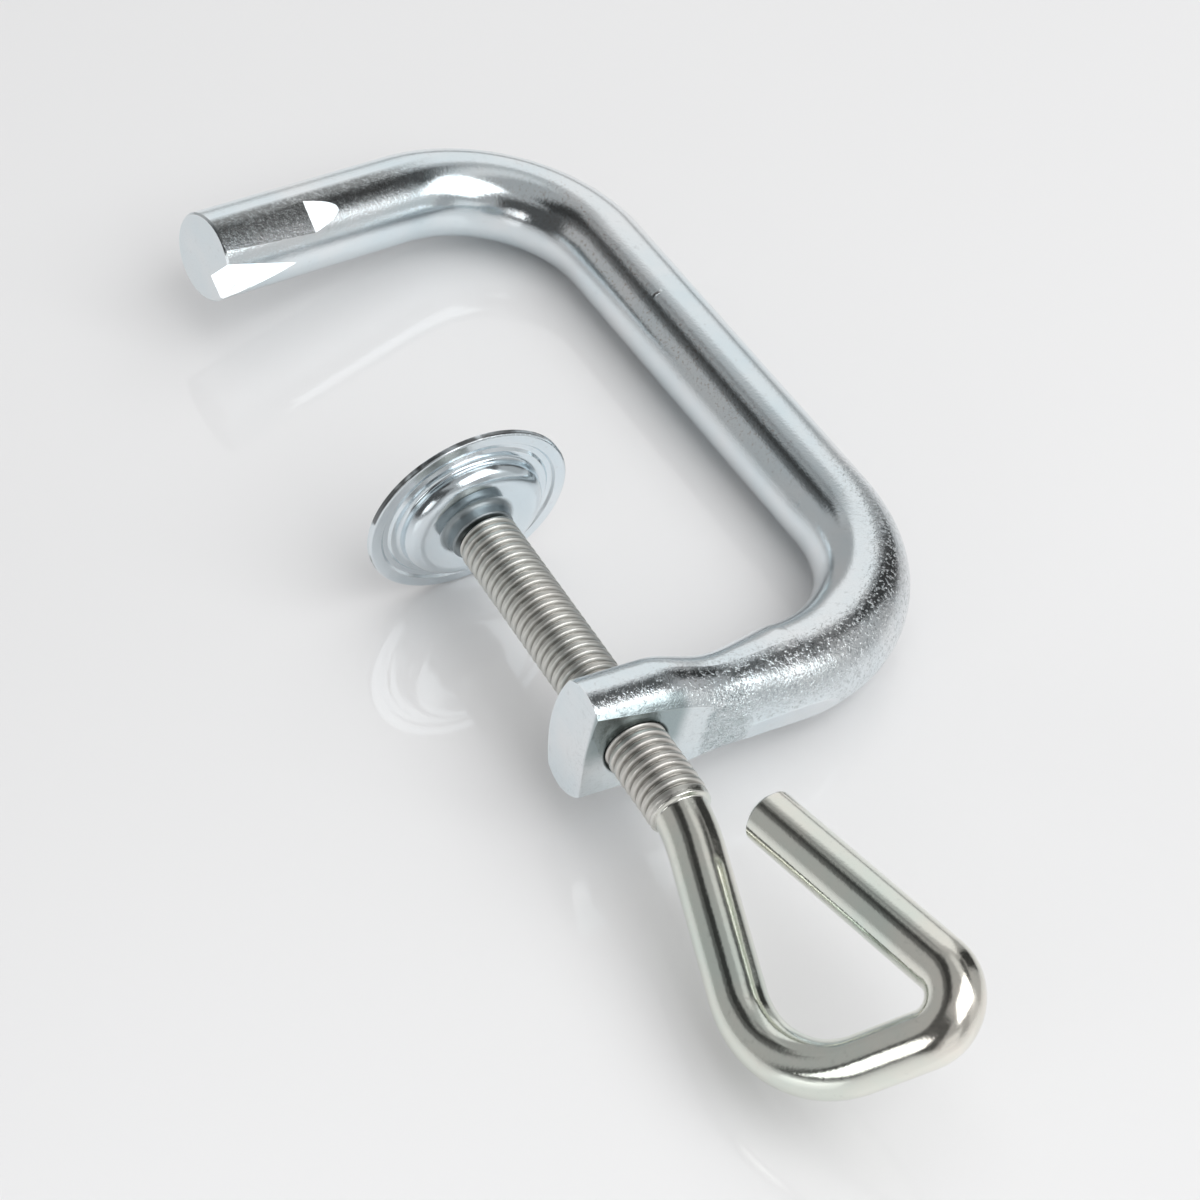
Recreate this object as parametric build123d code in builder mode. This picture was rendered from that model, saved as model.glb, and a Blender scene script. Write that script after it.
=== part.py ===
from build123d import *
from math import asin, cos, degrees, radians, sin, sqrt, tan
import os

# A table clamp: one bent steel bar, a screw whose end is bent into a loop handle, and a pressure disc
# riveted loosely to the screw's tip. All sizes are in millimetres and degrees.
# The clamp is drawn in its own plane XY, with the screw's axis through the origin, and laid down last.

# Bar of the frame
bar_diameter = 12.0
throat = 46.0
corner_height = 99.5
lower_bend_radius = 22.5
upper_bend_radius = 20.0
toe_in = 6.5
arm_length = 53.6
sawn_edge = 0.25

# Pressed tongue at the end of the lower arm
tongue_overhang = 6.6
tongue_width = 15.7
tongue_blend = 10.0
neck_place = 13.0
neck_width = 12.2
neck_thickness = 10.2
neck_shift = 0.7
crown_height = 4.5
crown_radius = 16.0
seat_depth = 3.7
seat_lean = 5.5
seat_hollow_radius = 38.0
seat_shift = 0.8
seat_end = 9.6
ramp_slope = 14.0
die_flat_depth = 0.4
die_flat_place = 22.0
die_flat_length = 14.0
die_flat_turn = 17.0

# Marks at the tip of the upper arm
notch_depth = 3.85
notch_shift = 1.5
notch_run = 10.7
notch_far_wall = 128.0
notch_near_wall = 213.0
grip_length = 14.0
grip_ramp = 4.4
grip_depth = 0.44
grip_depth_at_tip = 0.1
grip_turn = 55.0

# Screw with its loop handle
screw_lean = 2.0
thread_diameter = 7.8
thread_clearance = 0.05
thread_below_arm = 11.3
bent_thread = 3.4
thread_lead_in = 0.6
thread_run_out = 0.5
rod_diameter = 6.6
rod_end_chamfer = 0.7
loop_turn = 51.3
loop_entry_radius = 26.0
loop_swing = 19.2
loop_left_drop = 36.6
loop_right = 15.1
loop_right_drop = 47.6
loop_end = 7.7
loop_end_drop = 10.9
loop_base_radius = 13.0
loop_corner_radius = 4.5

# Pressure disc, stamped from sheet
pad_reach = 38.7
pad_tilt = 6.0
sheet = 0.9
rim_diameter = 26.8
groove_diameter = 22.4
groove_width = 1.3
groove_depth = 0.3
drum_diameter = 18.8
drum_height = 3.5
drum_edge_radius = 1.9
drum_foot_radius = 0.5
plateau_slope = 9.7
collar_foot_radius = 0.8
collar_wall = 1.0
collar_height = 5.0

# Turned tip of the screw, inside the disc
pin_diameter = 5.6
pin_play = 0.35
shoulder_play = 0.5
rivet_play = 0.5
rivet_overhang = 1.05
rivet_thickness = 0.9

# How far a cutting shape runs past what it cuts, and the shortest straight left beside a bend
overshoot = 1.0
hair = 0.001

bar_radius = bar_diameter / 2
thread_radius = thread_diameter / 2
rod_radius = rod_diameter / 2

# Corners of the bar's centreline
toe_angle = radians(toe_in)
lower_corner = Vector(throat, 0)
upper_corner = Vector(throat, corner_height)
arm_direction = Vector(cos(toe_angle), sin(toe_angle))
tip_end = upper_corner - arm_direction * arm_length
straight_end = throat - lower_bend_radius

# The screw's axis, and the plane of the loop: its x points sideways and its y down the axis
screw_direction = Vector(sin(radians(screw_lean)), cos(radians(screw_lean)), 0)
across = Vector(cos(radians(screw_lean)), -sin(radians(screw_lean)), 0)
loop_side = across * cos(radians(loop_turn)) + Vector(0, 0, sin(radians(loop_turn)))
thread_end = screw_direction * -thread_below_arm
loop_plane = Plane(
    origin=thread_end,
    x_dir=loop_side,
    z_dir=loop_side.cross(screw_direction * -1),
)

# Radii and heights of the pressure disc, from its front face towards the handle
drum_radius = drum_diameter / 2
hollow_radius = drum_radius - sheet
groove_radius = groove_diameter / 2
pin_radius = pin_diameter / 2
hole_radius = pin_radius + pin_play
collar_radius = hole_radius + collar_wall
rivet_radius = hole_radius + rivet_overhang
plateau_rise = tan(radians(plateau_slope))
drum_corner_height = drum_height + drum_edge_radius * plateau_rise
neck_height = drum_corner_height - (drum_radius - collar_radius) * plateau_rise
hollow_height = neck_height - (collar_radius - hole_radius) * plateau_rise - sheet
shoulder_height = collar_height + shoulder_play
rivet_top = hollow_height - rivet_play

# The disc hangs on the screw's pin at the middle of its collar, and tilts there within its play
pivot_height = (collar_height + hollow_height) / 2
pad_tilt_angle = radians(pad_tilt)
pad_direction = screw_direction * cos(pad_tilt_angle) + Vector(0, 0, sin(pad_tilt_angle))
pad_pivot = screw_direction * (pad_reach - pivot_height)
pad_centre = pad_pivot + pad_direction * pivot_height


def arm_plane(place):
    """Section across the lower arm: its x is the clamp's Z, its y the clamp's Y, its z runs to the end."""
    return Plane(origin=(place, 0, 0), x_dir=(0, 0, 1), z_dir=(-1, 0, 0))


def turning_plane(origin, direction):
    """Plane for a turned profile: its x is the radius and its y runs along the direction."""
    return Plane(origin=origin, x_dir=across, z_dir=across.cross(direction))


def eased(start, end):
    """Sections from one form to the next, which leave both without a kink."""
    for share in (0, 0.2, 0.5, 0.8):
        weight = share * share * (3 - 2 * share)
        place = start[0] + (end[0] - start[0]) * share
        yield (place, *(a + (b - a) * weight for a, b in zip(start[1:], end[1:])))


# Sections of the tongue from the bar to its wide end: place, half width, half thickness and shift
bar_section = (straight_end, bar_radius, bar_radius, 0)
neck_section = (neck_place, neck_width / 2, neck_thickness / 2, neck_shift)
wide_place = neck_place - tongue_blend
wide_section = (wide_place, tongue_width / 2, bar_radius, 0)
tongue_sections = [
    *eased(bar_section, neck_section),
    *eased(neck_section, wide_section),
    wide_section,
]

# Die that presses the seat under the screw: a hollow with a ramp at its far end
seat_angle = radians(seat_lean)
seat_run = Vector(cos(seat_angle), -sin(seat_angle), 0)
seat_normal = Vector(sin(seat_angle), cos(seat_angle), 0)
seat_centre = Vector(0, -seat_depth, seat_shift)
ramp_angle = radians(ramp_slope)
with BuildPart() as seat_die:
    with BuildSketch(
        Plane(
            origin=seat_centre - seat_run * (tongue_overhang + overshoot),
            x_dir=seat_normal,
            z_dir=seat_run,
        )
    ):
        with Locations((-seat_hollow_radius, 0)):
            Circle(seat_hollow_radius)
    extrude(amount=tongue_overhang + overshoot + 2 * seat_end)
    split(
        bisect_by=Plane(
            origin=seat_centre + seat_run * seat_end,
            z_dir=(-sin(ramp_angle), -cos(ramp_angle), 0),
        ),
        keep=Keep.TOP,
    )

# Die that rounds the crown of the tongue, on the side of the disc
with BuildPart() as crown_die:
    with BuildSketch(arm_plane(neck_place)):
        Rectangle(2 * tongue_width, 2 * tongue_width)
        with Locations((0, crown_height - crown_radius)):
            Circle(crown_radius, mode=Mode.SUBTRACT)
        with Locations((0, -tongue_width)):
            Rectangle(2 * tongue_width, 2 * tongue_width, mode=Mode.SUBTRACT)
    extrude(amount=neck_place + tongue_overhang + overshoot)

# Grip mark at the tip: a shallow flat that deepens inwards and ends in a ramp
grip_angle = radians(grip_turn)
arm_back = Vector(sin(toe_angle), -cos(toe_angle), 0)
grip_out = arm_back * cos(grip_angle) + Vector(0, 0, sin(grip_angle))
with BuildPart() as grip_die:
    with BuildSketch(
        Plane(origin=tip_end, x_dir=arm_direction, z_dir=arm_direction.cross(grip_out))
    ):
        with BuildLine():
            Polyline(
                (-overshoot, bar_radius - grip_depth_at_tip),
                (grip_length, bar_radius - grip_depth),
                (grip_length + grip_ramp, bar_radius),
                (grip_length + grip_ramp, bar_diameter),
                (-overshoot, bar_diameter),
                close=True,
            )
        make_face()
    extrude(amount=bar_radius, both=True)

# Frame: round bar, swept from the lower arm round both bends to the tip, its seam along the outside
with BuildPart() as frame:
    with BuildLine():
        FilletPolyline(
            (straight_end, 0),
            lower_corner,
            upper_corner,
            tip_end,
            radius=[lower_bend_radius - hair, upper_bend_radius],
        )
    with BuildSketch(
        Plane(origin=(straight_end, 0, 0), x_dir=(0, -1, 0), z_dir=(1, 0, 0))
    ):
        Circle(bar_radius)
    sweep()
    chamfer(frame.faces().sort_by_distance(tip_end)[0].edges(), sawn_edge)

    # Pressed tongue, necked where it leaves the round bar
    for place, half_width, half_thickness, shift in tongue_sections:
        with BuildSketch(arm_plane(place)):
            with Locations((0, -shift)):
                Ellipse(half_width, half_thickness)
    loft()
    with BuildSketch(arm_plane(wide_place)):
        Ellipse(tongue_width / 2, bar_radius)
    extrude(amount=wide_place + tongue_overhang)
    add(crown_die.part, mode=Mode.SUBTRACT)
    add(seat_die.part, mode=Mode.SUBTRACT)

    # Plain bore on the screw's axis
    with BuildSketch(Plane(origin=thread_end, x_dir=across, z_dir=screw_direction)):
        Circle(thread_radius + thread_clearance)
    extrude(amount=2 * thread_below_arm, mode=Mode.SUBTRACT)

    # Oval flat left by the die where the round bar begins
    die_angle = radians(die_flat_turn)
    die_normal = Vector(0, -cos(die_angle), -sin(die_angle))
    die_place = Vector(die_flat_place, 0, 0) + die_normal * (bar_radius - die_flat_depth)
    with BuildSketch(Plane(origin=die_place, x_dir=(1, 0, 0), z_dir=die_normal)):
        Rectangle(die_flat_length, bar_diameter)
    extrude(amount=bar_radius, mode=Mode.SUBTRACT)

    # V notch in the lower edge of the tip
    notch_apex = Vector(notch_depth - bar_radius, -notch_shift)
    far_angle = radians(notch_far_wall)
    near_angle = radians(notch_near_wall)
    tip_plane = Plane(origin=tip_end, x_dir=arm_back * -1, z_dir=arm_direction)
    valley_end = tip_plane.from_local_coords(Vector(-bar_radius, 0, notch_run))
    valley_start = tip_plane.from_local_coords(notch_apex)
    with BuildSketch(tip_plane):
        with BuildLine():
            Polyline(
                notch_apex,
                notch_apex + Vector(cos(far_angle), sin(far_angle)) * bar_diameter,
                notch_apex + Vector(cos(near_angle), sin(near_angle)) * bar_diameter,
                close=True,
            )
        make_face()
    extrude(
        amount=(valley_end - valley_start).length + overshoot,
        dir=(valley_end - valley_start).normalized(),
        mode=Mode.SUBTRACT,
    )
    add(grip_die.part, mode=Mode.SUBTRACT)

# Screw: threaded shank with a turned tip, riveted over inside the disc
with BuildPart() as screw:
    with BuildSketch(turning_plane(screw_direction * pad_reach, screw_direction * -1)):
        with BuildLine():
            Polyline(
                (0, pad_reach + thread_below_arm),
                (thread_radius, pad_reach + thread_below_arm),
                (thread_radius, shoulder_height + thread_lead_in),
                (thread_radius - thread_lead_in, shoulder_height),
                (pin_radius, shoulder_height),
                (pin_radius, rivet_top),
                (rivet_radius, rivet_top),
                (rivet_radius, rivet_top - rivet_thickness / 2),
                (rivet_radius - rivet_thickness / 2, rivet_top - rivet_thickness),
                (0, rivet_top - rivet_thickness),
                close=True,
            )
        make_face()
    revolve(axis=Axis(thread_end, screw_direction))

    # Last turns of the thread, bent along with the rod
    with BuildLine(loop_plane):
        JernArc(
            (0, 0),
            (0, 1),
            loop_entry_radius,
            degrees(bent_thread / loop_entry_radius),
        )
    with BuildSketch(Plane(origin=thread_end, z_dir=screw_direction * -1)):
        Circle(thread_radius)
    sweep()
    bent_end = loop_plane.from_local_coords(Vector(0, bent_thread))
    chamfer(screw.faces().sort_by_distance(bent_end)[0].edges(), thread_run_out)

    # Loop handle, bent from the plain rod
    entry_length = loop_entry_radius * tan(radians(loop_swing / 2))
    loop_left = -(loop_left_drop - entry_length) * tan(radians(loop_swing))
    loop_start = thread_end + screw_direction * rod_radius
    with BuildLine(loop_plane):
        FilletPolyline(
            (0, -rod_radius),
            (0, entry_length),
            (loop_left, loop_left_drop),
            (loop_right, loop_right_drop),
            (loop_end, loop_end_drop),
            radius=[loop_entry_radius, loop_base_radius, loop_corner_radius],
        )
    with BuildSketch(Plane(origin=loop_start, z_dir=screw_direction * -1)):
        Circle(rod_radius)
    sweep()
    rod_end = loop_plane.from_local_coords(Vector(loop_end, loop_end_drop))
    chamfer(screw.faces().sort_by_distance(rod_end)[0].edges(), rod_end_chamfer)

# Pressure disc: flat rim with a groove, a drum with a dished top, and a drawn collar
with BuildPart() as pressure_disc:
    with BuildSketch(turning_plane(pad_centre, pad_direction * -1)) as disc_profile:
        hollow_corner = drum_corner_height - sheet * plateau_rise - sheet
        with BuildLine():
            Polyline(
                (hollow_radius, 0),
                (rim_diameter / 2, 0),
                (rim_diameter / 2, sheet),
                (groove_radius + groove_width / 2, sheet),
                (groove_radius + groove_width / 4, sheet - groove_depth),
                (groove_radius - groove_width / 4, sheet - groove_depth),
                (groove_radius - groove_width / 2, sheet),
                (drum_radius, sheet),
                (drum_radius, drum_corner_height),
                (collar_radius, neck_height),
                (collar_radius, collar_height),
                (hole_radius, collar_height),
                (hole_radius, hollow_height),
                (hollow_radius, hollow_corner),
                close=True,
            )
        make_face()
        rounded = [
            ((drum_radius, drum_corner_height), drum_edge_radius),
            ((hollow_radius, hollow_corner), drum_edge_radius - sheet),
            ((drum_radius, sheet), drum_foot_radius),
            ((hollow_radius, 0), drum_foot_radius + sheet),
            ((collar_radius, neck_height), collar_foot_radius),
            ((rim_diameter / 2, sheet), sheet / 3),
            ((rim_diameter / 2, 0), sheet / 4),
            ((collar_radius, collar_height), sheet / 3),
        ]
        for place, radius in rounded:
            fillet(disc_profile.vertices().sort_by_distance(place)[0], radius)
    revolve(axis=Axis(pad_centre, pad_direction))

# Lay the clamp down on the side of its spine and on the disc's rim
rim_back = pad_centre - pad_direction * sheet
lying_angle = 0.0
for _ in range(8):
    up = Vector(-sin(lying_angle), 0, cos(lying_angle))
    rim_drop = rim_diameter / 2 * sqrt(1 - pad_direction.dot(up) ** 2)
    rise = rim_drop - bar_radius - rim_back.Z * cos(lying_angle)
    lying_angle = asin(rise / (throat - rim_back.X))
floor = Plane(
    origin=(0, 0, 0),
    x_dir=(cos(lying_angle), 0, sin(lying_angle)),
    z_dir=(-sin(lying_angle), 0, cos(lying_angle)),
)
lying = floor.location.inverse()
pieces = {"frame": frame, "screw": screw, "pressure_disc": pressure_disc}
laid = Compound([piece.part.moved(lying) for piece in pieces.values()])
bounds = laid.bounding_box(optimal=True)
centred = Pos(-bounds.center().X, -bounds.center().Y, -bounds.min.Z) * lying

os.makedirs("parts", exist_ok=True)
for name, piece in pieces.items():
    placed = piece.part.moved(centred)
    placed.label = name
    export_step(placed, f"parts/{name}.step")
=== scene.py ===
import math
from types import SimpleNamespace

import bpy
from mathutils import Matrix, Vector


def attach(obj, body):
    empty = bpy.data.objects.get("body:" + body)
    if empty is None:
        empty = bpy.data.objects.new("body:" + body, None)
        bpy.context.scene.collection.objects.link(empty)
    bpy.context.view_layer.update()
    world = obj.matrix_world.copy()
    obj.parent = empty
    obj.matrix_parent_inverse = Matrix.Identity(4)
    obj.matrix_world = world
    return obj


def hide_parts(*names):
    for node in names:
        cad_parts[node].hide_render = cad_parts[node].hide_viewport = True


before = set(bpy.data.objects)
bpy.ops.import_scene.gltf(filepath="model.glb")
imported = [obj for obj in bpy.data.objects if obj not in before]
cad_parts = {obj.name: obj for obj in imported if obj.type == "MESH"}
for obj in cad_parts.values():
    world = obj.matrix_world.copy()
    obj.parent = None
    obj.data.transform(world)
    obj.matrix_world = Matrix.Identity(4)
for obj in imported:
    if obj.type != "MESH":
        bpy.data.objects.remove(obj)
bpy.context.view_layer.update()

MM = 0.001

# The clamp's own axes as it lies, and its origin on the screw's axis, as the CAD places them
CLAMP_ORIGIN = Vector((-0.019698, -0.021825, 0.013284))
CLAMP_X = Vector((0.987384, 0.0, -0.158342))
CLAMP_Y = Vector((0.0, 1.0, 0.0))
CLAMP_Z = Vector((0.158342, 0.0, 0.987384))

# A point on the disc's axis and the axis as it lies, in metres
PAD_CENTRE = Vector((-0.018308, 0.016833, 0.013424))
PAD_AXIS = Vector((0.050822, 0.993916, 0.097714))

# Frame, in millimetres and degrees, as in the CAD
LOWER_BEND_CENTRE = (23.5, 22.5)
TOE_IN = 6.5
GRIP_TURN = 55.0
DIE_FLAT_TURN = 17.0

# Screw, in millimetres and degrees, as in the CAD
SCREW_LEAN = 2.0
PAD_REACH = 38.7
RIVET_SETBACK = 1.205
SHOULDER_SETBACK = 5.5
THREAD_BELOW_ARM = 11.3
BENT_THREAD = 3.4
THREAD_RADIUS = 3.9
PIN_RADIUS = 2.8
ROD_RADIUS = 3.3
LOOP_TURN = 51.3
LOOP_SWING = 19.2
LOOP_ENTRY_RADIUS = 26.0
LOOP_BASE_RADIUS = 13.0
LOOP_CORNER_RADIUS = 4.5
LOOP_LEFT_DROP = 36.6
LOOP_RIGHT = 15.1
LOOP_RIGHT_DROP = 47.6
LOOP_END = 7.7
LOOP_END_DROP = 10.9

# Thread, in millimetres: the CAD's shank is plain, so its turns are drawn only here
PITCH = 1.25
THREAD_DEPTH = 0.5
THREAD_CREST = 0.30
LEAD_IN_DROP = 0.7
LEAD_IN = 0.6
FIRST_TURN_GROWS = 0.9
RUN_OUT = 0.45
LAST_TURN_FADES = 1.7

# Outline of the riveted head and the pin under it: depth below the head's face, and radius
RIVET_OUTLINE = (
    (0.0, 0.0),
    (0.0, 2.6),
    (0.05, 3.4),
    (0.30, 3.95),
    (0.45, 4.15),
    (0.85, 4.18),
    (0.9, 4.12),
    (0.9, PIN_RADIUS + 0.05),
    (0.95, PIN_RADIUS),
)

# Outline of the loop's chamfered end: distance before the end, and radius
ROD_END_OUTLINE = ((0.7, 3.3), (0.62, 3.26), (0.08, 2.68), (0.0, 2.58), (0.0, 0.0))

# Fineness of the screw's skin
SIDES = 56
RINGS_PER_TURN = 14
LOOP_STEP = 0.6
SHARP_EDGE = 50


def smooth(value, low, high):
    share = min(1.0, max(0.0, (value - low) / (high - low)))
    return share * share * (3 - 2 * share)


def direction(vector):
    """A direction in the clamp's axes, in the row frame."""
    return CLAMP_X * vector[0] + CLAMP_Y * vector[1] + CLAMP_Z * vector[2]


def point(place):
    """A place in the clamp's axes and millimetres, in the row frame and metres."""
    return CLAMP_ORIGIN + direction(place) * MM


lean = math.radians(SCREW_LEAN)
screw_axis = Vector((math.sin(lean), math.cos(lean), 0.0))
SCREW_AXIS = direction(screw_axis)

toe_in, grip_turn = math.radians(TOE_IN), math.radians(GRIP_TURN)
arm_out = Vector((math.sin(toe_in), -math.cos(toe_in), 0.0))
clamp_up = Vector((0.0, 0.0, 1.0))
ARM_ALONG = direction((math.cos(toe_in), math.sin(toe_in), 0.0))
GRIP_OUT = direction(arm_out * math.cos(grip_turn) + clamp_up * math.sin(grip_turn))
GRIP_SIDE = direction(arm_out * math.sin(grip_turn) - clamp_up * math.cos(grip_turn))


# Materials


class Tree:
    """Short ways to add shader nodes to a material or a world."""

    def __init__(self, data, coordinates):
        data.use_nodes = True
        self.data = data
        self.nodes = data.node_tree.nodes
        self.links = data.node_tree.links
        self.source = self.nodes.new("ShaderNodeTexCoord")
        self.coordinates = self.source.outputs[coordinates]

    def input(self, name):
        """A socket of the Principled shader."""
        return self.nodes["Principled BSDF"].inputs[name]

    def link(self, source, target):
        self.links.new(source, target)

    def feed(self, socket, value):
        """Sets a socket to a number or links it to an output."""
        if isinstance(value, bpy.types.NodeSocket):
            self.links.new(value, socket)
        else:
            socket.default_value = value

    def noise(self, scale, detail=3.0, roughness=0.55, stretch=None):
        """Noise, 0 to 1; stretch is a rotation and a scale of the coordinates."""
        node = self.nodes.new("ShaderNodeTexNoise")
        node.inputs["Scale"].default_value = scale
        node.inputs["Detail"].default_value = detail
        node.inputs["Roughness"].default_value = roughness
        self.link(self.stretched(stretch), node.inputs["Vector"])
        return node.outputs["Fac"]

    def stretched(self, stretch):
        if stretch is None:
            return self.coordinates
        node = self.nodes.new("ShaderNodeMapping")
        node.vector_type = "POINT"
        rotation, scale = stretch
        node.inputs["Rotation"].default_value = rotation
        node.inputs["Scale"].default_value = scale
        self.link(self.coordinates, node.inputs["Vector"])
        return node.outputs["Vector"]

    def ramp(self, source, *stops):
        """A straight run between two stops, each a place and its value."""
        node = self.nodes.new("ShaderNodeValToRGB")
        for element, (place, grey) in zip(node.color_ramp.elements, stops):
            element.position = place
            element.color = (grey, grey, grey, 1.0)
        self.link(source, node.inputs["Fac"])
        return node.outputs["Color"]

    def math(self, operation, first, second=0.0, third=0.0, clamp=False):
        node = self.nodes.new("ShaderNodeMath")
        node.operation = operation
        node.use_clamp = clamp
        for socket, value in zip(node.inputs, (first, second, third)):
            self.feed(socket, value)
        return node.outputs[0]

    def mix(self, factor, first, second):
        """From the first colour at factor 0 to the second at 1."""
        node = self.nodes.new("ShaderNodeMix")
        node.data_type = "RGBA"
        self.feed(node.inputs[0], factor)
        for socket, colour in ((node.inputs[6], first), (node.inputs[7], second)):
            if isinstance(colour, tuple):
                colour = (*colour, 1.0)
            self.feed(socket, colour)
        return node.outputs[2]

    def tinted(self, colour, mask, strength, other):
        """The colour, with a share of another one where the mask is."""
        return self.mix(self.math("MULTIPLY", mask, strength), colour, other)

    def raised(self, value, mask, amount):
        """The value, with an amount added where the mask is."""
        return self.math("ADD", value, self.math("MULTIPLY", mask, amount))

    def bump(self, height, distance, strength=1.0, normal=None):
        node = self.nodes.new("ShaderNodeBump")
        node.inputs["Distance"].default_value = distance
        self.feed(node.inputs["Strength"], strength)
        self.link(height, node.inputs["Height"])
        if normal is not None:
            self.link(normal, node.inputs["Normal"])
        return node.outputs["Normal"]

    def vector(self, operation, first, second=(0, 0, 0)):
        node = self.nodes.new("ShaderNodeVectorMath")
        node.operation = operation
        self.feed(node.inputs[0], first)
        self.feed(node.inputs[1], second)
        return node.outputs["Value" if operation in ("DOT_PRODUCT", "LENGTH") else "Vector"]

    def fade(self, value, low, high):
        """A smooth step from 0 at low to 1 at high, which may lie either way round."""
        node = self.nodes.new("ShaderNodeMapRange")
        node.interpolation_type = "SMOOTHSTEP"
        self.link(value, node.inputs["Value"])
        node.inputs["From Min"].default_value = low
        node.inputs["From Max"].default_value = high
        return node.outputs["Result"]

    def step(self, length, low, high):
        """The same for a length, with its two ends in millimetres."""
        return self.fade(length, low * MM, high * MM)

    def all_of(self, *masks):
        result = masks[0]
        for mask in masks[1:]:
            result = self.math("MULTIPLY", result, mask)
        return result

    def along(self, axis, shift=0.0):
        """Distance from the clamp's origin along an axis, in metres, plus a shift in millimetres."""
        offset = self.vector("SUBTRACT", self.coordinates, tuple(CLAMP_ORIGIN))
        distance = self.vector("DOT_PRODUCT", offset, tuple(axis))
        return self.math("ADD", distance, shift * MM) if shift else distance

    def off_axis(self, origin, axis):
        """Distance from an axis, in metres."""
        offset = self.vector("SUBTRACT", self.coordinates, tuple(origin))
        return self.vector("LENGTH", self.vector("CROSS_PRODUCT", offset, tuple(axis)))

    def joined(self, x, y):
        node = self.nodes.new("ShaderNodeCombineXYZ")
        self.link(x, node.inputs["X"])
        self.link(y, node.inputs["Y"])
        return node.outputs[0]

    def edges(self, radius):
        """About 0 on open faces and up to 1 along edges, from a rounded normal."""
        bevel = self.nodes.new("ShaderNodeBevel")
        bevel.samples = 2
        bevel.inputs["Radius"].default_value = radius
        geometry = self.nodes.new("ShaderNodeNewGeometry")
        even = self.vector("DOT_PRODUCT", bevel.outputs["Normal"], geometry.outputs["Normal"])
        gain = 8.0
        return self.math("MULTIPLY", self.math("SUBTRACT", 1.0, even), gain, clamp=True)


PIT_SHADE = 0.72
WORN_AND_HIGHLIT_EDGE = (0.90, 0.91, 0.92)


def zinc(name, tint, cool, warm, speckle, rough, marks):
    """Zinc plating over drawn steel: a bright metal, cloudy, grainy and pitted, with its own marks."""
    tree = Tree(bpy.data.materials.new(name), "Object")
    cloud = tree.noise(55.0, 4.0, 0.6)
    grain = tree.noise(2600.0, 3.0, 0.6)
    fine = tree.noise(7000.0, 2.0, 0.6)
    pits = tree.noise(900.0, 5.0, 0.7)
    colour = tree.mix(tree.ramp(cloud, (0.35, 0.0), (0.65, 1.0)), cool, warm)
    pitted = tree.ramp(pits, (0.60, 0.0), (0.74, 0.55))
    colour = tree.mix(pitted, colour, tuple(part * PIT_SHADE for part in tint))
    # Lighter along the edges: partly wear, partly a painted highlight on the edges
    colour = tree.tinted(colour, tree.edges(0.35 * MM), 0.6, WORN_AND_HIGHLIT_EDGE)
    roughness = tree.raised(rough, tree.ramp(grain, (0.3, 0.0), (0.7, 1.0)), 0.10)
    roughness = tree.raised(roughness, tree.ramp(cloud, (0.4, 0.0), (0.7, 1.0)), 0.06)
    normal = tree.bump(pits, 0.020 * MM, 0.5 * speckle)
    normal = tree.bump(grain, 0.016 * MM, speckle, normal)
    normal = tree.bump(fine, 0.006 * MM, speckle, normal)
    colour, roughness, normal = marks(tree, colour, roughness, normal)
    tree.link(colour, tree.input("Base Color"))
    tree.input("Metallic").default_value = 1.0
    tree.link(roughness, tree.input("Roughness"))
    tree.link(normal, tree.input("Normal"))
    return tree.data


# Marks on the frame. Their limits are in millimetres along the clamp's axes. The greys in the
# hollow, on the bore's rim and in the band on the upper arm are painted shade and painted
# reflection; the other greys are the metal's texture. All stay dark under any light.


def bend_marks(tree, at, colour, roughness, normal):
    """Orange peel and dark dots round the outside of the lower bend."""
    # Distance from the bend's middle, which leaves its inner side out
    right = tree.math("MAXIMUM", tree.math("SUBTRACT", at.x, LOWER_BEND_CENTRE[0] * MM), 0.0)
    down = tree.math("MINIMUM", tree.math("SUBTRACT", at.y, LOWER_BEND_CENTRE[1] * MM), 0.0)
    outside = tree.step(tree.vector("LENGTH", tree.joined(right, down)), 20.5, 24.5)
    eased = tree.math("MULTIPLY_ADD", tree.step(at.x, 2, 16), 0.7, 0.3)
    peel = tree.all_of(tree.step(at.y, 40, 10), eased, at.off_flat, outside)
    specks = tree.ramp(tree.noise(2100.0, 2.0, 0.6), (0.56, 0.0), (0.66, 1.0))
    normal = tree.bump(tree.noise(1700.0, 3.0, 0.75), 0.03 * MM, peel, normal)
    normal = tree.bump(specks, 0.04 * MM, peel, normal)
    dots = tree.ramp(tree.noise(1900.0, 3.0, 0.7), (0.55, 0.0), (0.61, 0.5))
    colour = tree.mix(tree.all_of(peel, dots), colour, (0.36, 0.39, 0.40))
    return colour, roughness, normal


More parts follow.
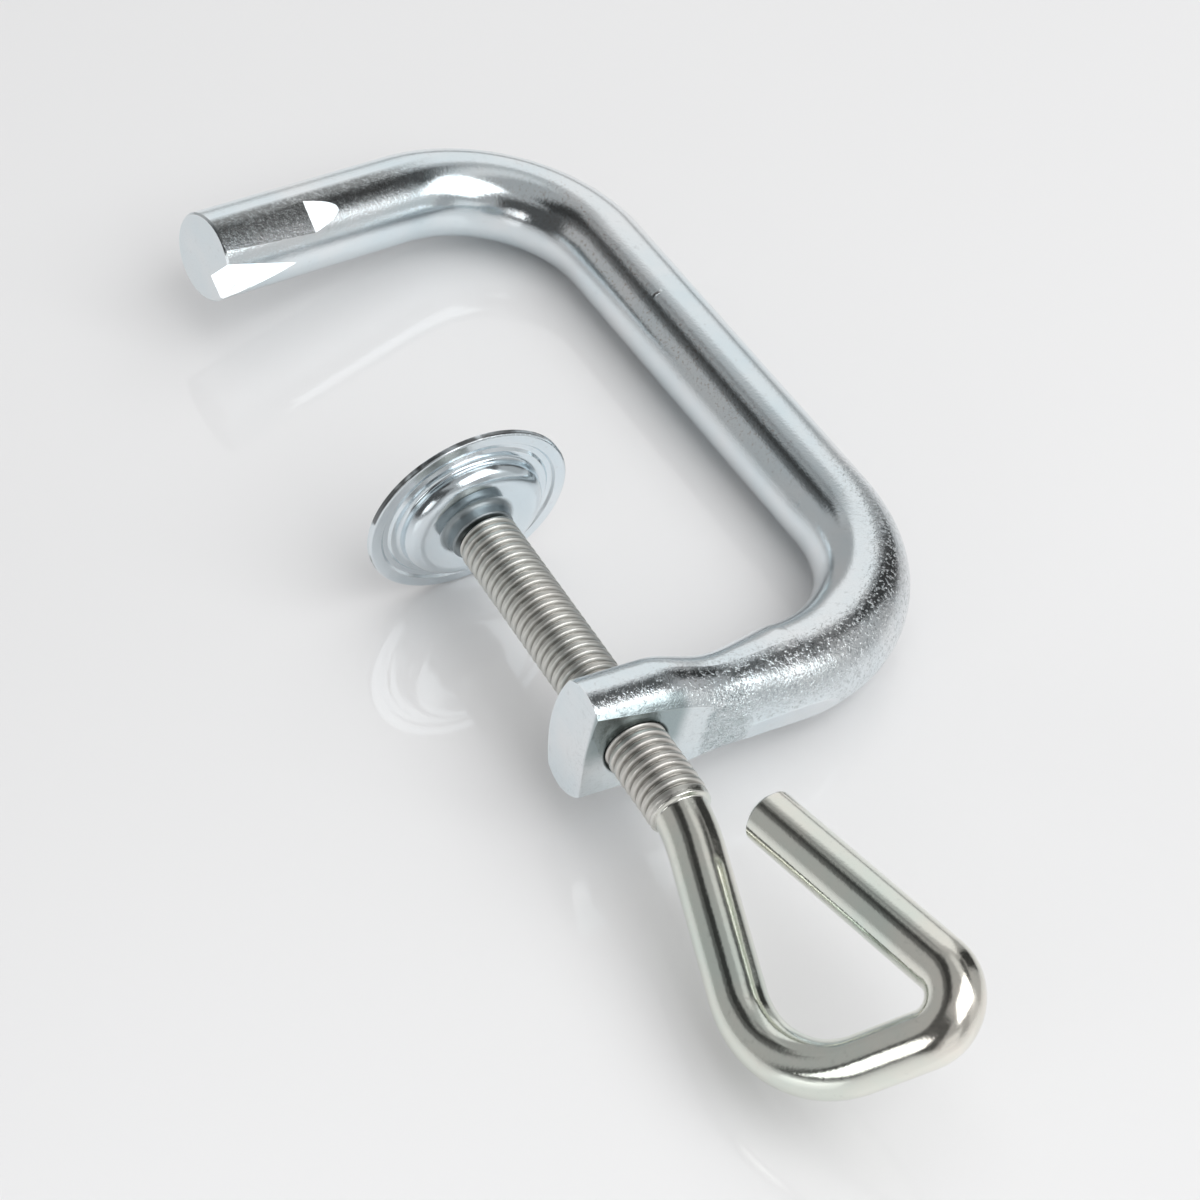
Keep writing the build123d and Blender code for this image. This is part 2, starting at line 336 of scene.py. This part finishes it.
def tongue_marks(tree, at, colour, roughness, normal):
    """Rough die marks on the pressed tongue and its ramp, and painted shade in the hollow and on the bore's
    rim.
    """
    pressed = tree.all_of(tree.step(at.y, -3.2, -4.2), tree.step(at.x, 31, 27), at.off_flat)
    ramp = tree.all_of(
        tree.step(at.y, -3.0, -4.4),
        tree.step(at.x, 8.2, 9.6),
        tree.step(at.x, 15.5, 13.5),
    )
    hollow = tree.all_of(
        tree.step(at.y, -2.6, -3.2),
        tree.step(at.x, 6.5, 4.5),
        tree.step(at.z, -3, 1),
    )
    bore_rim_shade = tree.all_of(
        tree.step(tree.off_axis(CLAMP_ORIGIN, SCREW_AXIS), 4.35, 4.05),
        tree.step(at.y, 10, 8),
    )
    normal = tree.bump(tree.noise(1100.0, 4.0, 0.65), 0.10 * MM, pressed, normal)
    normal = tree.bump(tree.noise(1000.0, 3.0, 0.7), 0.7 * MM, ramp, normal)
    roughness = tree.raised(roughness, pressed, 0.08)
    colour = tree.tinted(colour, pressed, 0.4, (0.66, 0.72, 0.74))
    patches = tree.ramp(tree.noise(1300.0, 3.0, 0.7), (0.45, 0.0), (0.55, 1.0))
    colour = tree.mix(tree.all_of(ramp, patches), colour, (0.60, 0.67, 0.69))
    # Painted shade in the hollow beside the bore
    colour = tree.tinted(colour, hollow, 0.8, (0.27, 0.34, 0.35))
    # Painted shade: a dark ring round the bore's rim
    colour = tree.mix(bore_rim_shade, colour, (0.04, 0.05, 0.05))
    return colour, roughness, normal


def grip_marks(tree, at, colour, roughness, normal):
    """A grainy grip mark on the front of the upper arm, and a mottled band of painted dark reflection along
    its side.
    """
    # The cut beside the grip mark and the tip's end face stay smooth
    facing = tree.vector("DOT_PRODUCT", tree.source.outputs["Normal"], tuple(ARM_ALONG))
    front = tree.all_of(
        tree.step(tree.along(GRIP_OUT, 53.7), 1.5, 4.5),
        tree.step(at.x, 30, 15),
        tree.step(at.y, 80, 88),
        tree.fade(facing, -0.07, -0.04),
    )
    normal = tree.bump(tree.noise(2600.0, 3.0, 0.75), 0.022 * MM, front, normal)
    below_top = tree.along(GRIP_SIDE, 76.71)
    shaded = tree.all_of(
        front,
        tree.ramp(tree.noise(1500.0, 4.0, 0.8), (0.35, 0.4), (0.60, 1.0)),
        tree.step(below_top, 1.8, -1.5),
        tree.step(below_top, -3.7, -2.9),
    )
    # Share of the zinc that still shows through the painted dark reflection; the square darkens the
    # half-shaded parts most
    bare = tree.math("POWER", tree.math("MULTIPLY_ADD", shaded, -0.85, 1.0), 2.0)
    colour = tree.mix(bare, (0.24, 0.25, 0.25), colour)
    return colour, roughness, normal


def saw_marks(tree, at, colour, roughness, normal):
    """Fine lines on the sawn end of the lower arm."""
    sawn = tree.all_of(tree.step(at.x, -6.2, -6.5), tree.step(at.y, 30, 20))
    lines = tree.noise(900.0, 3.0, 0.6, ((0.0, 0.0, 0.3), (1.0, 0.05, 1.0)))
    return colour, roughness, tree.bump(lines, 0.07 * MM, sawn, normal)


def brown_specks(tree, at, colour, roughness, normal):
    """Brown specks along the top of the bar's back."""
    brown = tree.all_of(
        tree.ramp(tree.noise(2200.0, 3.0, 0.7), (0.56, 0.0), (0.66, 0.5)),
        tree.step(at.z, 1.5, 3),
        tree.step(at.x, 44.0, 43.2),
        tree.step(at.x, 30, 36),
        tree.step(at.y, 20, 40),
        tree.step(at.y, 95, 80),
    )
    return tree.mix(brown, colour, (0.46, 0.37, 0.31)), roughness, normal


def nick_mark(tree, at, colour, roughness, normal):
    """One small nick in the bar's back."""
    sideways = tree.math("ABSOLUTE", tree.math("SUBTRACT", at.x, 43.4 * MM))
    lengthways = tree.math("ABSOLUTE", tree.math("SUBTRACT", at.y, 62.2 * MM))
    nick = tree.all_of(
        tree.step(sideways, 0.85, 0.2),
        tree.step(lengthways, 0.35, 0.1),
        tree.step(at.z, 3, 4),
    )
    colour = tree.tinted(colour, nick, 0.75, (0.16, 0.14, 0.13))
    return colour, roughness, tree.bump(nick, 0.1 * MM, 1.0, normal)


def frame_marks(tree, *surface):
    """All marks on the frame, each laid over the ones before it."""
    at = SimpleNamespace(x=tree.along(CLAMP_X), y=tree.along(CLAMP_Y), z=tree.along(CLAMP_Z))
    flat_turn = math.radians(DIE_FLAT_TURN)
    flat_out = CLAMP_Y * -math.cos(flat_turn) - CLAMP_Z * math.sin(flat_turn)
    die_flat = tree.all_of(
        tree.step(tree.along(flat_out), 5.50, 5.58),
        tree.step(at.x, 14.5, 15.5),
        tree.step(at.x, 29.5, 28.5),
    )
    at.off_flat = tree.math("SUBTRACT", 1.0, die_flat)
    for marks in (bend_marks, tongue_marks, grip_marks, saw_marks, brown_specks, nick_mark):
        surface = marks(tree, at, *surface)
    return surface


def disc_marks(tree, colour, roughness, normal):
    """The drawn collar is duller and darkened by painted shade, and the rim's outer edge has patches of
    painted dark reflection.
    """
    radius = tree.off_axis(PAD_CENTRE, PAD_AXIS)
    collar = tree.step(radius, 5.2, 4.5)
    roughness = tree.raised(roughness, collar, 0.22)
    # Painted shade on the collar
    colour = tree.tinted(colour, collar, 0.85, (0.24, 0.27, 0.28))
    normal = tree.bump(tree.noise(1500.0, 3.0, 0.7), 0.04 * MM, collar, normal)
    patches = tree.ramp(tree.noise(160.0, 3.0, 0.6), (0.45, 0.0), (0.52, 1.0))
    # Patches of painted dark reflection on the rim's outer edge
    edge = tree.all_of(tree.step(radius, 13.25, 13.38), patches)
    colour = tree.tinted(colour, edge, 0.85, (0.10, 0.10, 0.10))
    return colour, roughness, normal


def screw_marks(tree, colour, roughness, normal):
    """The rolled thread is duller than the rod, with painted shade in its grooves and fine lines along its
    turns.
    """
    height = tree.along(SCREW_AXIS)
    low_end = -(THREAD_BELOW_ARM + BENT_THREAD)
    thread = tree.all_of(tree.step(height, low_end, low_end + 1), tree.step(height, 33.4, 33.1))
    lines = tree.noise(700.0, 3.0, 0.7, ((0.0, 0.0, 0.0), (0.6, 9.0, 0.6)))
    normal = tree.bump(lines, 0.02 * MM, thread, normal)
    roughness = tree.raised(roughness, thread, 0.25)
    colour = tree.tinted(colour, thread, 0.7, (0.66, 0.65, 0.62))
    # Painted shade in the thread's grooves, by depth below the crests
    depth = tree.step(tree.off_axis(CLAMP_ORIGIN, SCREW_AXIS), 3.72, 3.50)
    colour = tree.tinted(colour, tree.all_of(thread, depth), 0.7, (0.20, 0.19, 0.17))
    return colour, roughness, normal


frame_zinc = zinc(
    "frame_zinc",
    tint=(0.80, 0.84, 0.86),
    cool=(0.72, 0.81, 0.85),
    warm=(0.83, 0.86, 0.875),
    speckle=1.0,
    rough=0.05,
    marks=frame_marks,
)
screw_zinc = zinc(
    "screw_zinc",
    tint=(0.80, 0.81, 0.76),
    cool=(0.72, 0.78, 0.72),
    warm=(0.85, 0.81, 0.74),
    speckle=0.7,
    rough=0.05,
    marks=screw_marks,
)
disc_zinc = zinc(
    "disc_zinc",
    tint=(0.82, 0.86, 0.89),
    cool=(0.71, 0.80, 0.85),
    warm=(0.80, 0.85, 0.88),
    speckle=0.5,
    rough=0.09,
    marks=disc_marks,
)


def paint(node, material):
    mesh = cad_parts[node].data
    mesh.materials.clear()
    mesh.materials.append(material)


paint("frame", frame_zinc)
paint("pressure_disc", disc_zinc)


# Screw, in the clamp's axes and millimetres. A ring is its centre, its tangent towards the loop's
# end, its radius, how much of the thread it carries from 0 to 1, and its height on the thread.

across_screw = Vector((math.cos(lean), -math.sin(lean), 0.0))
loop_turn = math.radians(LOOP_TURN)
loop_side = across_screw * math.cos(loop_turn) + Vector((0.0, 0.0, math.sin(loop_turn)))
loop_normal = loop_side.cross(-screw_axis)
thread_end = screw_axis * -THREAD_BELOW_ARM
shoulder = PAD_REACH - SHOULDER_SETBACK
thread_step = PITCH / RINGS_PER_TURN


def rounded_corners(corners, radii, step):
    """Points along straight runs joined by arcs, with a unit tangent at each."""
    path = []
    start = Vector(corners[0])
    for index in range(1, len(corners) - 1):
        corner = Vector(corners[index])
        before = (corner - Vector(corners[index - 1])).normalized()
        after = (Vector(corners[index + 1]) - corner).normalized()
        turn = before.angle(after)
        radius = radii[index - 1]
        reach = radius * math.tan(turn / 2)
        arc_start = corner - before * reach
        count = max(1, round((arc_start - start).length / step))
        for k in range(count):
            path.append((start.lerp(arc_start, k / count), before))
        inward = (after - before * before.dot(after)).normalized()
        centre = arc_start + inward * radius
        count = max(6, round(radius * turn / step))
        for k in range(count):
            angle = turn * k / count
            cosine, sine = math.cos(angle), math.sin(angle)
            place = centre - inward * (radius * cosine) + before * (radius * sine)
            path.append((place, before * cosine + inward * sine))
        start = corner + after * reach
    end = Vector(corners[-1])
    heading = (end - start).normalized()
    count = max(1, round((end - start).length / step))
    for k in range(count + 1):
        path.append((start.lerp(end, k / count), heading))
    return path


def axis_ring(height, radius, thread=0.0):
    """A ring round the screw's axis."""
    return (screw_axis * height, -screw_axis, radius, thread, height)


def loop_ring(place, heading, radius, thread=0.0, height=0.0):
    """A ring in the loop's plane, from coordinates sideways and down from the thread's end."""
    centre = thread_end + loop_side * place.x - screw_axis * place.y
    return (centre, loop_side * heading.x - screw_axis * heading.y, radius, thread, height)


def pin_rings():
    """Riveted head and pin, down to the shoulder."""
    face = PAD_REACH - RIVET_SETBACK
    rings = [axis_ring(face - depth, radius) for depth, radius in RIVET_OUTLINE]
    for rise, radius in ((0.05, PIN_RADIUS), (0.0, PIN_RADIUS + 0.05), (0.0, THREAD_RADIUS - LEAD_IN_DROP)):
        rings.append(axis_ring(shoulder + rise, radius))
    return rings


def thread_rings():
    """Rolled thread, from the shoulder to where the rod starts to bend."""
    rings = []
    length = shoulder + THREAD_BELOW_ARM
    count = round(length / thread_step)
    for k in range(1, count):
        below = length * k / count
        radius = THREAD_RADIUS - LEAD_IN_DROP * (1 - smooth(below, 0.0, LEAD_IN))
        rings.append(axis_ring(shoulder - below, radius, min(1.0, below / FIRST_TURN_GROWS)))
    return rings


def bend_rings():
    """Last turns of the thread, bent along with the rod, and the run-out."""
    rings = []
    count = round(BENT_THREAD / thread_step)
    centre = Vector((-LOOP_ENTRY_RADIUS, 0.0))
    for k in range(count + 1):
        run = BENT_THREAD * k / count
        angle = run / LOOP_ENTRY_RADIUS
        cosine, sine = math.cos(angle), math.sin(angle)
        place = centre + Vector((cosine, sine)) * LOOP_ENTRY_RADIUS
        left = BENT_THREAD - run
        thread = smooth(left, RUN_OUT, LAST_TURN_FADES)
        radius = THREAD_RADIUS - 0.10 * (1 - thread) - 0.5 * smooth(RUN_OUT - left, 0.0, RUN_OUT)
        height = -THREAD_BELOW_ARM - run
        rings.append(loop_ring(place, Vector((-sine, cosine)), radius, thread, height))
    return rings


def handle_rings():
    """Plain rod of the loop handle, to its chamfered end."""
    swing = math.tan(math.radians(LOOP_SWING))
    entry = LOOP_ENTRY_RADIUS * math.tan(math.radians(LOOP_SWING) / 2)
    corners = (
        (0.0, 0.0),
        (0.0, entry),
        (-(LOOP_LEFT_DROP - entry) * swing, LOOP_LEFT_DROP),
        (LOOP_RIGHT, LOOP_RIGHT_DROP),
        (LOOP_END, LOOP_END_DROP),
    )
    radii = (LOOP_ENTRY_RADIUS, LOOP_BASE_RADIUS, LOOP_CORNER_RADIUS)
    path = rounded_corners(corners, radii, LOOP_STEP)
    rings = []
    travelled = 0.0
    last = path[0][0]
    for place, heading in path:
        travelled += (place - last).length
        last = place
        # The bent thread stands on the first stretch of this path
        if travelled >= BENT_THREAD + 0.05:
            rings.append(loop_ring(place, heading, ROD_RADIUS))
    end, tangent = rings.pop()[:2]
    for back, radius in ROD_END_OUTLINE:
        rings.append((end - tangent * back, tangent, radius, 0.0, 0.0))
    return rings


def thread_height(turns):
    """Height of a rolled thread's flank over its root, 0 to 1, by place within a turn."""
    off = abs((turns % 1.0) - 0.5) * 2
    return 1.0 - smooth(off, THREAD_CREST, 1.0)


def ring_vertices(centre, tangent, radius, thread, height):
    """The ring's vertices, or the centre alone where it has no radius."""
    if radius == 0.0:
        return [point(centre)]
    side = loop_normal.cross(tangent).normalized()
    vertices = []
    for k in range(SIDES):
        angle = 2 * math.pi * k / SIDES
        # Counterclockwise seen from the tip, so the thread is right-handed
        out = side * math.cos(angle) + loop_normal * math.sin(angle)
        turns = height / PITCH - angle / (2 * math.pi)
        groove = THREAD_DEPTH * (1 - thread_height(turns)) * thread
        vertices.append(point(centre + out * (radius - groove)))
    return vertices


def build_screw():
    """The whole rod as one skin: riveted tip, pin, rolled thread and the loop handle."""
    vertices, faces = [], []
    previous = None
    for ring in pin_rings() + thread_rings() + bend_rings() + handle_rings():
        added = ring_vertices(*ring)
        # A lone centre vertex stands for every side of its ring
        current = [len(vertices) + min(k, len(added) - 1) for k in range(SIDES)]
        vertices += added
        if previous is not None:
            for k in range(SIDES):
                after = (k + 1) % SIDES
                corners = (previous[k], previous[after], current[after], current[k])
                faces.append(list(dict.fromkeys(corners)))
        previous = current
    mesh = bpy.data.meshes.new("screw_rod")
    mesh.from_pydata(vertices, [], faces)
    mesh.validate()
    mesh.update()
    rod = bpy.data.objects.new("screw_rod", mesh)
    bpy.context.scene.collection.objects.link(rod)
    for polygon in mesh.polygons:
        polygon.use_smooth = True
    mesh.set_sharp_from_angle(angle=math.radians(SHARP_EDGE))
    mesh.materials.append(screw_zinc)
    return rod


screw_rod = build_screw()
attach(screw_rod, "screw")
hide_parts("screw")


# Floor

FLOOR_REACH = 1.3


def floor_material():
    tree = Tree(bpy.data.materials.new("floor_gloss"), "Object")
    cloud = tree.noise(1.2, 2.0, 0.5)
    tree.link(tree.mix(cloud, (0.85, 0.85, 0.855), (0.88, 0.88, 0.885)), tree.input("Base Color"))
    tree.link(tree.raised(0.03, tree.noise(9.0), 0.03), tree.input("Roughness"))
    tree.input("Specular IOR Level").default_value = 0.5
    return tree.data


floor_mesh = bpy.data.meshes.new("floor")
floor_corners = [(-1, -1), (1, -1), (1, 1), (-1, 1)]
floor_mesh.from_pydata([(x * FLOOR_REACH, y * FLOOR_REACH, 0) for x, y in floor_corners], [], [(0, 1, 2, 3)])
floor_mesh.materials.append(floor_material())
floor = bpy.data.objects.new("floor", floor_mesh)
bpy.context.scene.collection.objects.link(floor)


# Lights. The fill is hidden from mirrored rays, so it lights the floor and hardly the metal.


def toward(azimuth, elevation):
    """Unit vector; azimuth 0 is +Y and 90 is +X."""
    turn, rise = math.radians(azimuth), math.radians(elevation)
    return Vector((math.sin(turn) * math.cos(rise), math.cos(turn) * math.cos(rise), math.sin(rise)))


def softbox(name, target, azimuth, elevation, distance, width, height, radiance, spread=180):
    """A flat panel light that faces its target, with a power that follows from its radiance."""
    lamp = bpy.data.lights.new(name, "AREA")
    lamp.shape = "RECTANGLE"
    lamp.size = width
    lamp.size_y = height
    lamp.energy = radiance * math.pi * width * height
    if spread < 180:
        half = math.radians(spread) / 2
        lamp.spread = 2 * half
        lamp.energy *= (math.tan(half) - half) / math.tan(half)
    panel = bpy.data.objects.new(name, lamp)
    heading = toward(azimuth, elevation)
    panel.location = Vector(target) + heading * distance
    panel.rotation_euler = heading.to_track_quat("Z", "Y").to_euler()
    panel.visible_camera = False
    bpy.context.scene.collection.objects.link(panel)
    return panel


MIDDLE = (0.0, 0.0, 0.0)
LOOP_PLACE = (0.0, -0.078, 0.015)

softbox("key_softbox", MIDDLE, 160, 51, 1.0, 0.92, 0.76, 2.0)
fill = softbox("fill_softbox", MIDDLE, 95, 72, 1.0, 1.2, 1.2, 0.7)
fill.visible_glossy = False
softbox("loop_softbox", LOOP_PLACE, -100, 14, 0.22, 0.135, 0.085, 2.6, 80)

# Grey of the walls where the metal mirrors no panel
WALL = 0.40

# Grey that lights everything but mirrors; judged from the floor, not a mean of the panels
FLOOR_LIGHT = 0.48

# Far walls, panels and cloths of the studio, each laid over the ones before it:
# azimuth, elevation, half width, half height, roll, softness of the edge, brightness
PANELS = (
    (-55, 12, 34, 26, 0, 16, 0.42),
    (38, 52, 34, 6, 0, 8, 0.50),
    (37, 26, 18, 21, 0, 6, 0.90),
    (-28, 45, 13, 7, -8, 7, 0.06),
    (-1, 53, 4, 5, 0, 5, 0.25),
    (-70, 45, 34, 6, 0, 10, 0.12),
    (-58, 60, 20, 11, 0, 8, 0.04),
    (-108, 20, 34, 30, 0, 12, 0.08),
    (77, 16, 11, 22, 0, 6, 0.04),
    (95, 50, 18, 8, 0, 8, 0.09),
    (110, 18, 13, 20, 0, 8, 0.45),
    (138, 10, 15, 18, 0, 8, 0.60),
    (132, 27, 8, 9, 0, 8, 0.90),
    (82, 70, 20, 8, 0, 8, 0.70),
    (-170, 2, 16, 14, 0, 10, 0.78),
)


def inside_panel(tree, azimuth, elevation, half_width, half_height, roll, softness):
    """1 inside a panel and 0 outside it, from one plane through each of its sides."""
    ahead = toward(azimuth, elevation)
    level = toward(azimuth + 90, 0)
    rolled = Matrix.Rotation(-math.radians(roll), 3, ahead)
    right, up = rolled @ level, rolled @ level.cross(ahead)
    inside = None
    for side, half in ((right, half_width), (-right, half_width), (up, half_height), (-up, half_height)):
        half = math.radians(half)
        plane = (ahead * math.tan(half) - side) / (math.radians(softness) / 2 * math.cos(half))
        depth = tree.vector("DOT_PRODUCT", tree.coordinates, tuple(plane))
        inside = depth if inside is None else tree.math("MINIMUM", inside, depth)
    return tree.fade(inside, -1.0, 1.0)


def studio():
    """The studio's walls and panels for mirrored rays, and one plain grey for all others."""
    tree = Tree(bpy.data.worlds.new("studio"), "Generated")
    colour = (WALL, WALL, WALL)
    for *shape, shade in PANELS:
        colour = tree.mix(inside_panel(tree, *shape), colour, (shade, shade, shade))
    mirrored = tree.nodes["Background"]
    tree.link(colour, mirrored.inputs["Color"])
    plain = tree.nodes.new("ShaderNodeBackground")
    plain.inputs["Color"].default_value = (FLOOR_LIGHT, FLOOR_LIGHT, FLOOR_LIGHT, 1.0)
    path = tree.nodes.new("ShaderNodeLightPath")
    both = tree.nodes.new("ShaderNodeMixShader")
    tree.link(path.outputs["Is Glossy Ray"], both.inputs["Fac"])
    tree.link(plain.outputs[0], both.inputs[1])
    tree.link(mirrored.outputs[0], both.inputs[2])
    tree.link(both.outputs[0], tree.nodes["World Output"].inputs["Surface"])
    return tree.data


bpy.context.scene.world = studio()

# Camera, from a perspective solution of the photograph: metres, a quaternion and a 36 mm sensor
CAMERA_PLACE = (-0.154215, -0.211811, 0.289999)
CAMERA_TURN = (0.901011851, 0.340191613, -0.120463324, -0.240698770)
CAMERA_LENS = 93.848

camera_data = bpy.data.cameras.new("camera")
camera_data.sensor_width = 36.0
camera_data.lens = CAMERA_LENS
camera_data.clip_start = 0.01
camera_data.clip_end = 20.0
camera = bpy.data.objects.new("camera", camera_data)
camera.location = CAMERA_PLACE
camera.rotation_mode = "QUATERNION"
camera.rotation_quaternion = CAMERA_TURN
bpy.context.scene.collection.objects.link(camera)
bpy.context.scene.camera = camera

bpy.context.scene.view_settings.view_transform = "Standard"
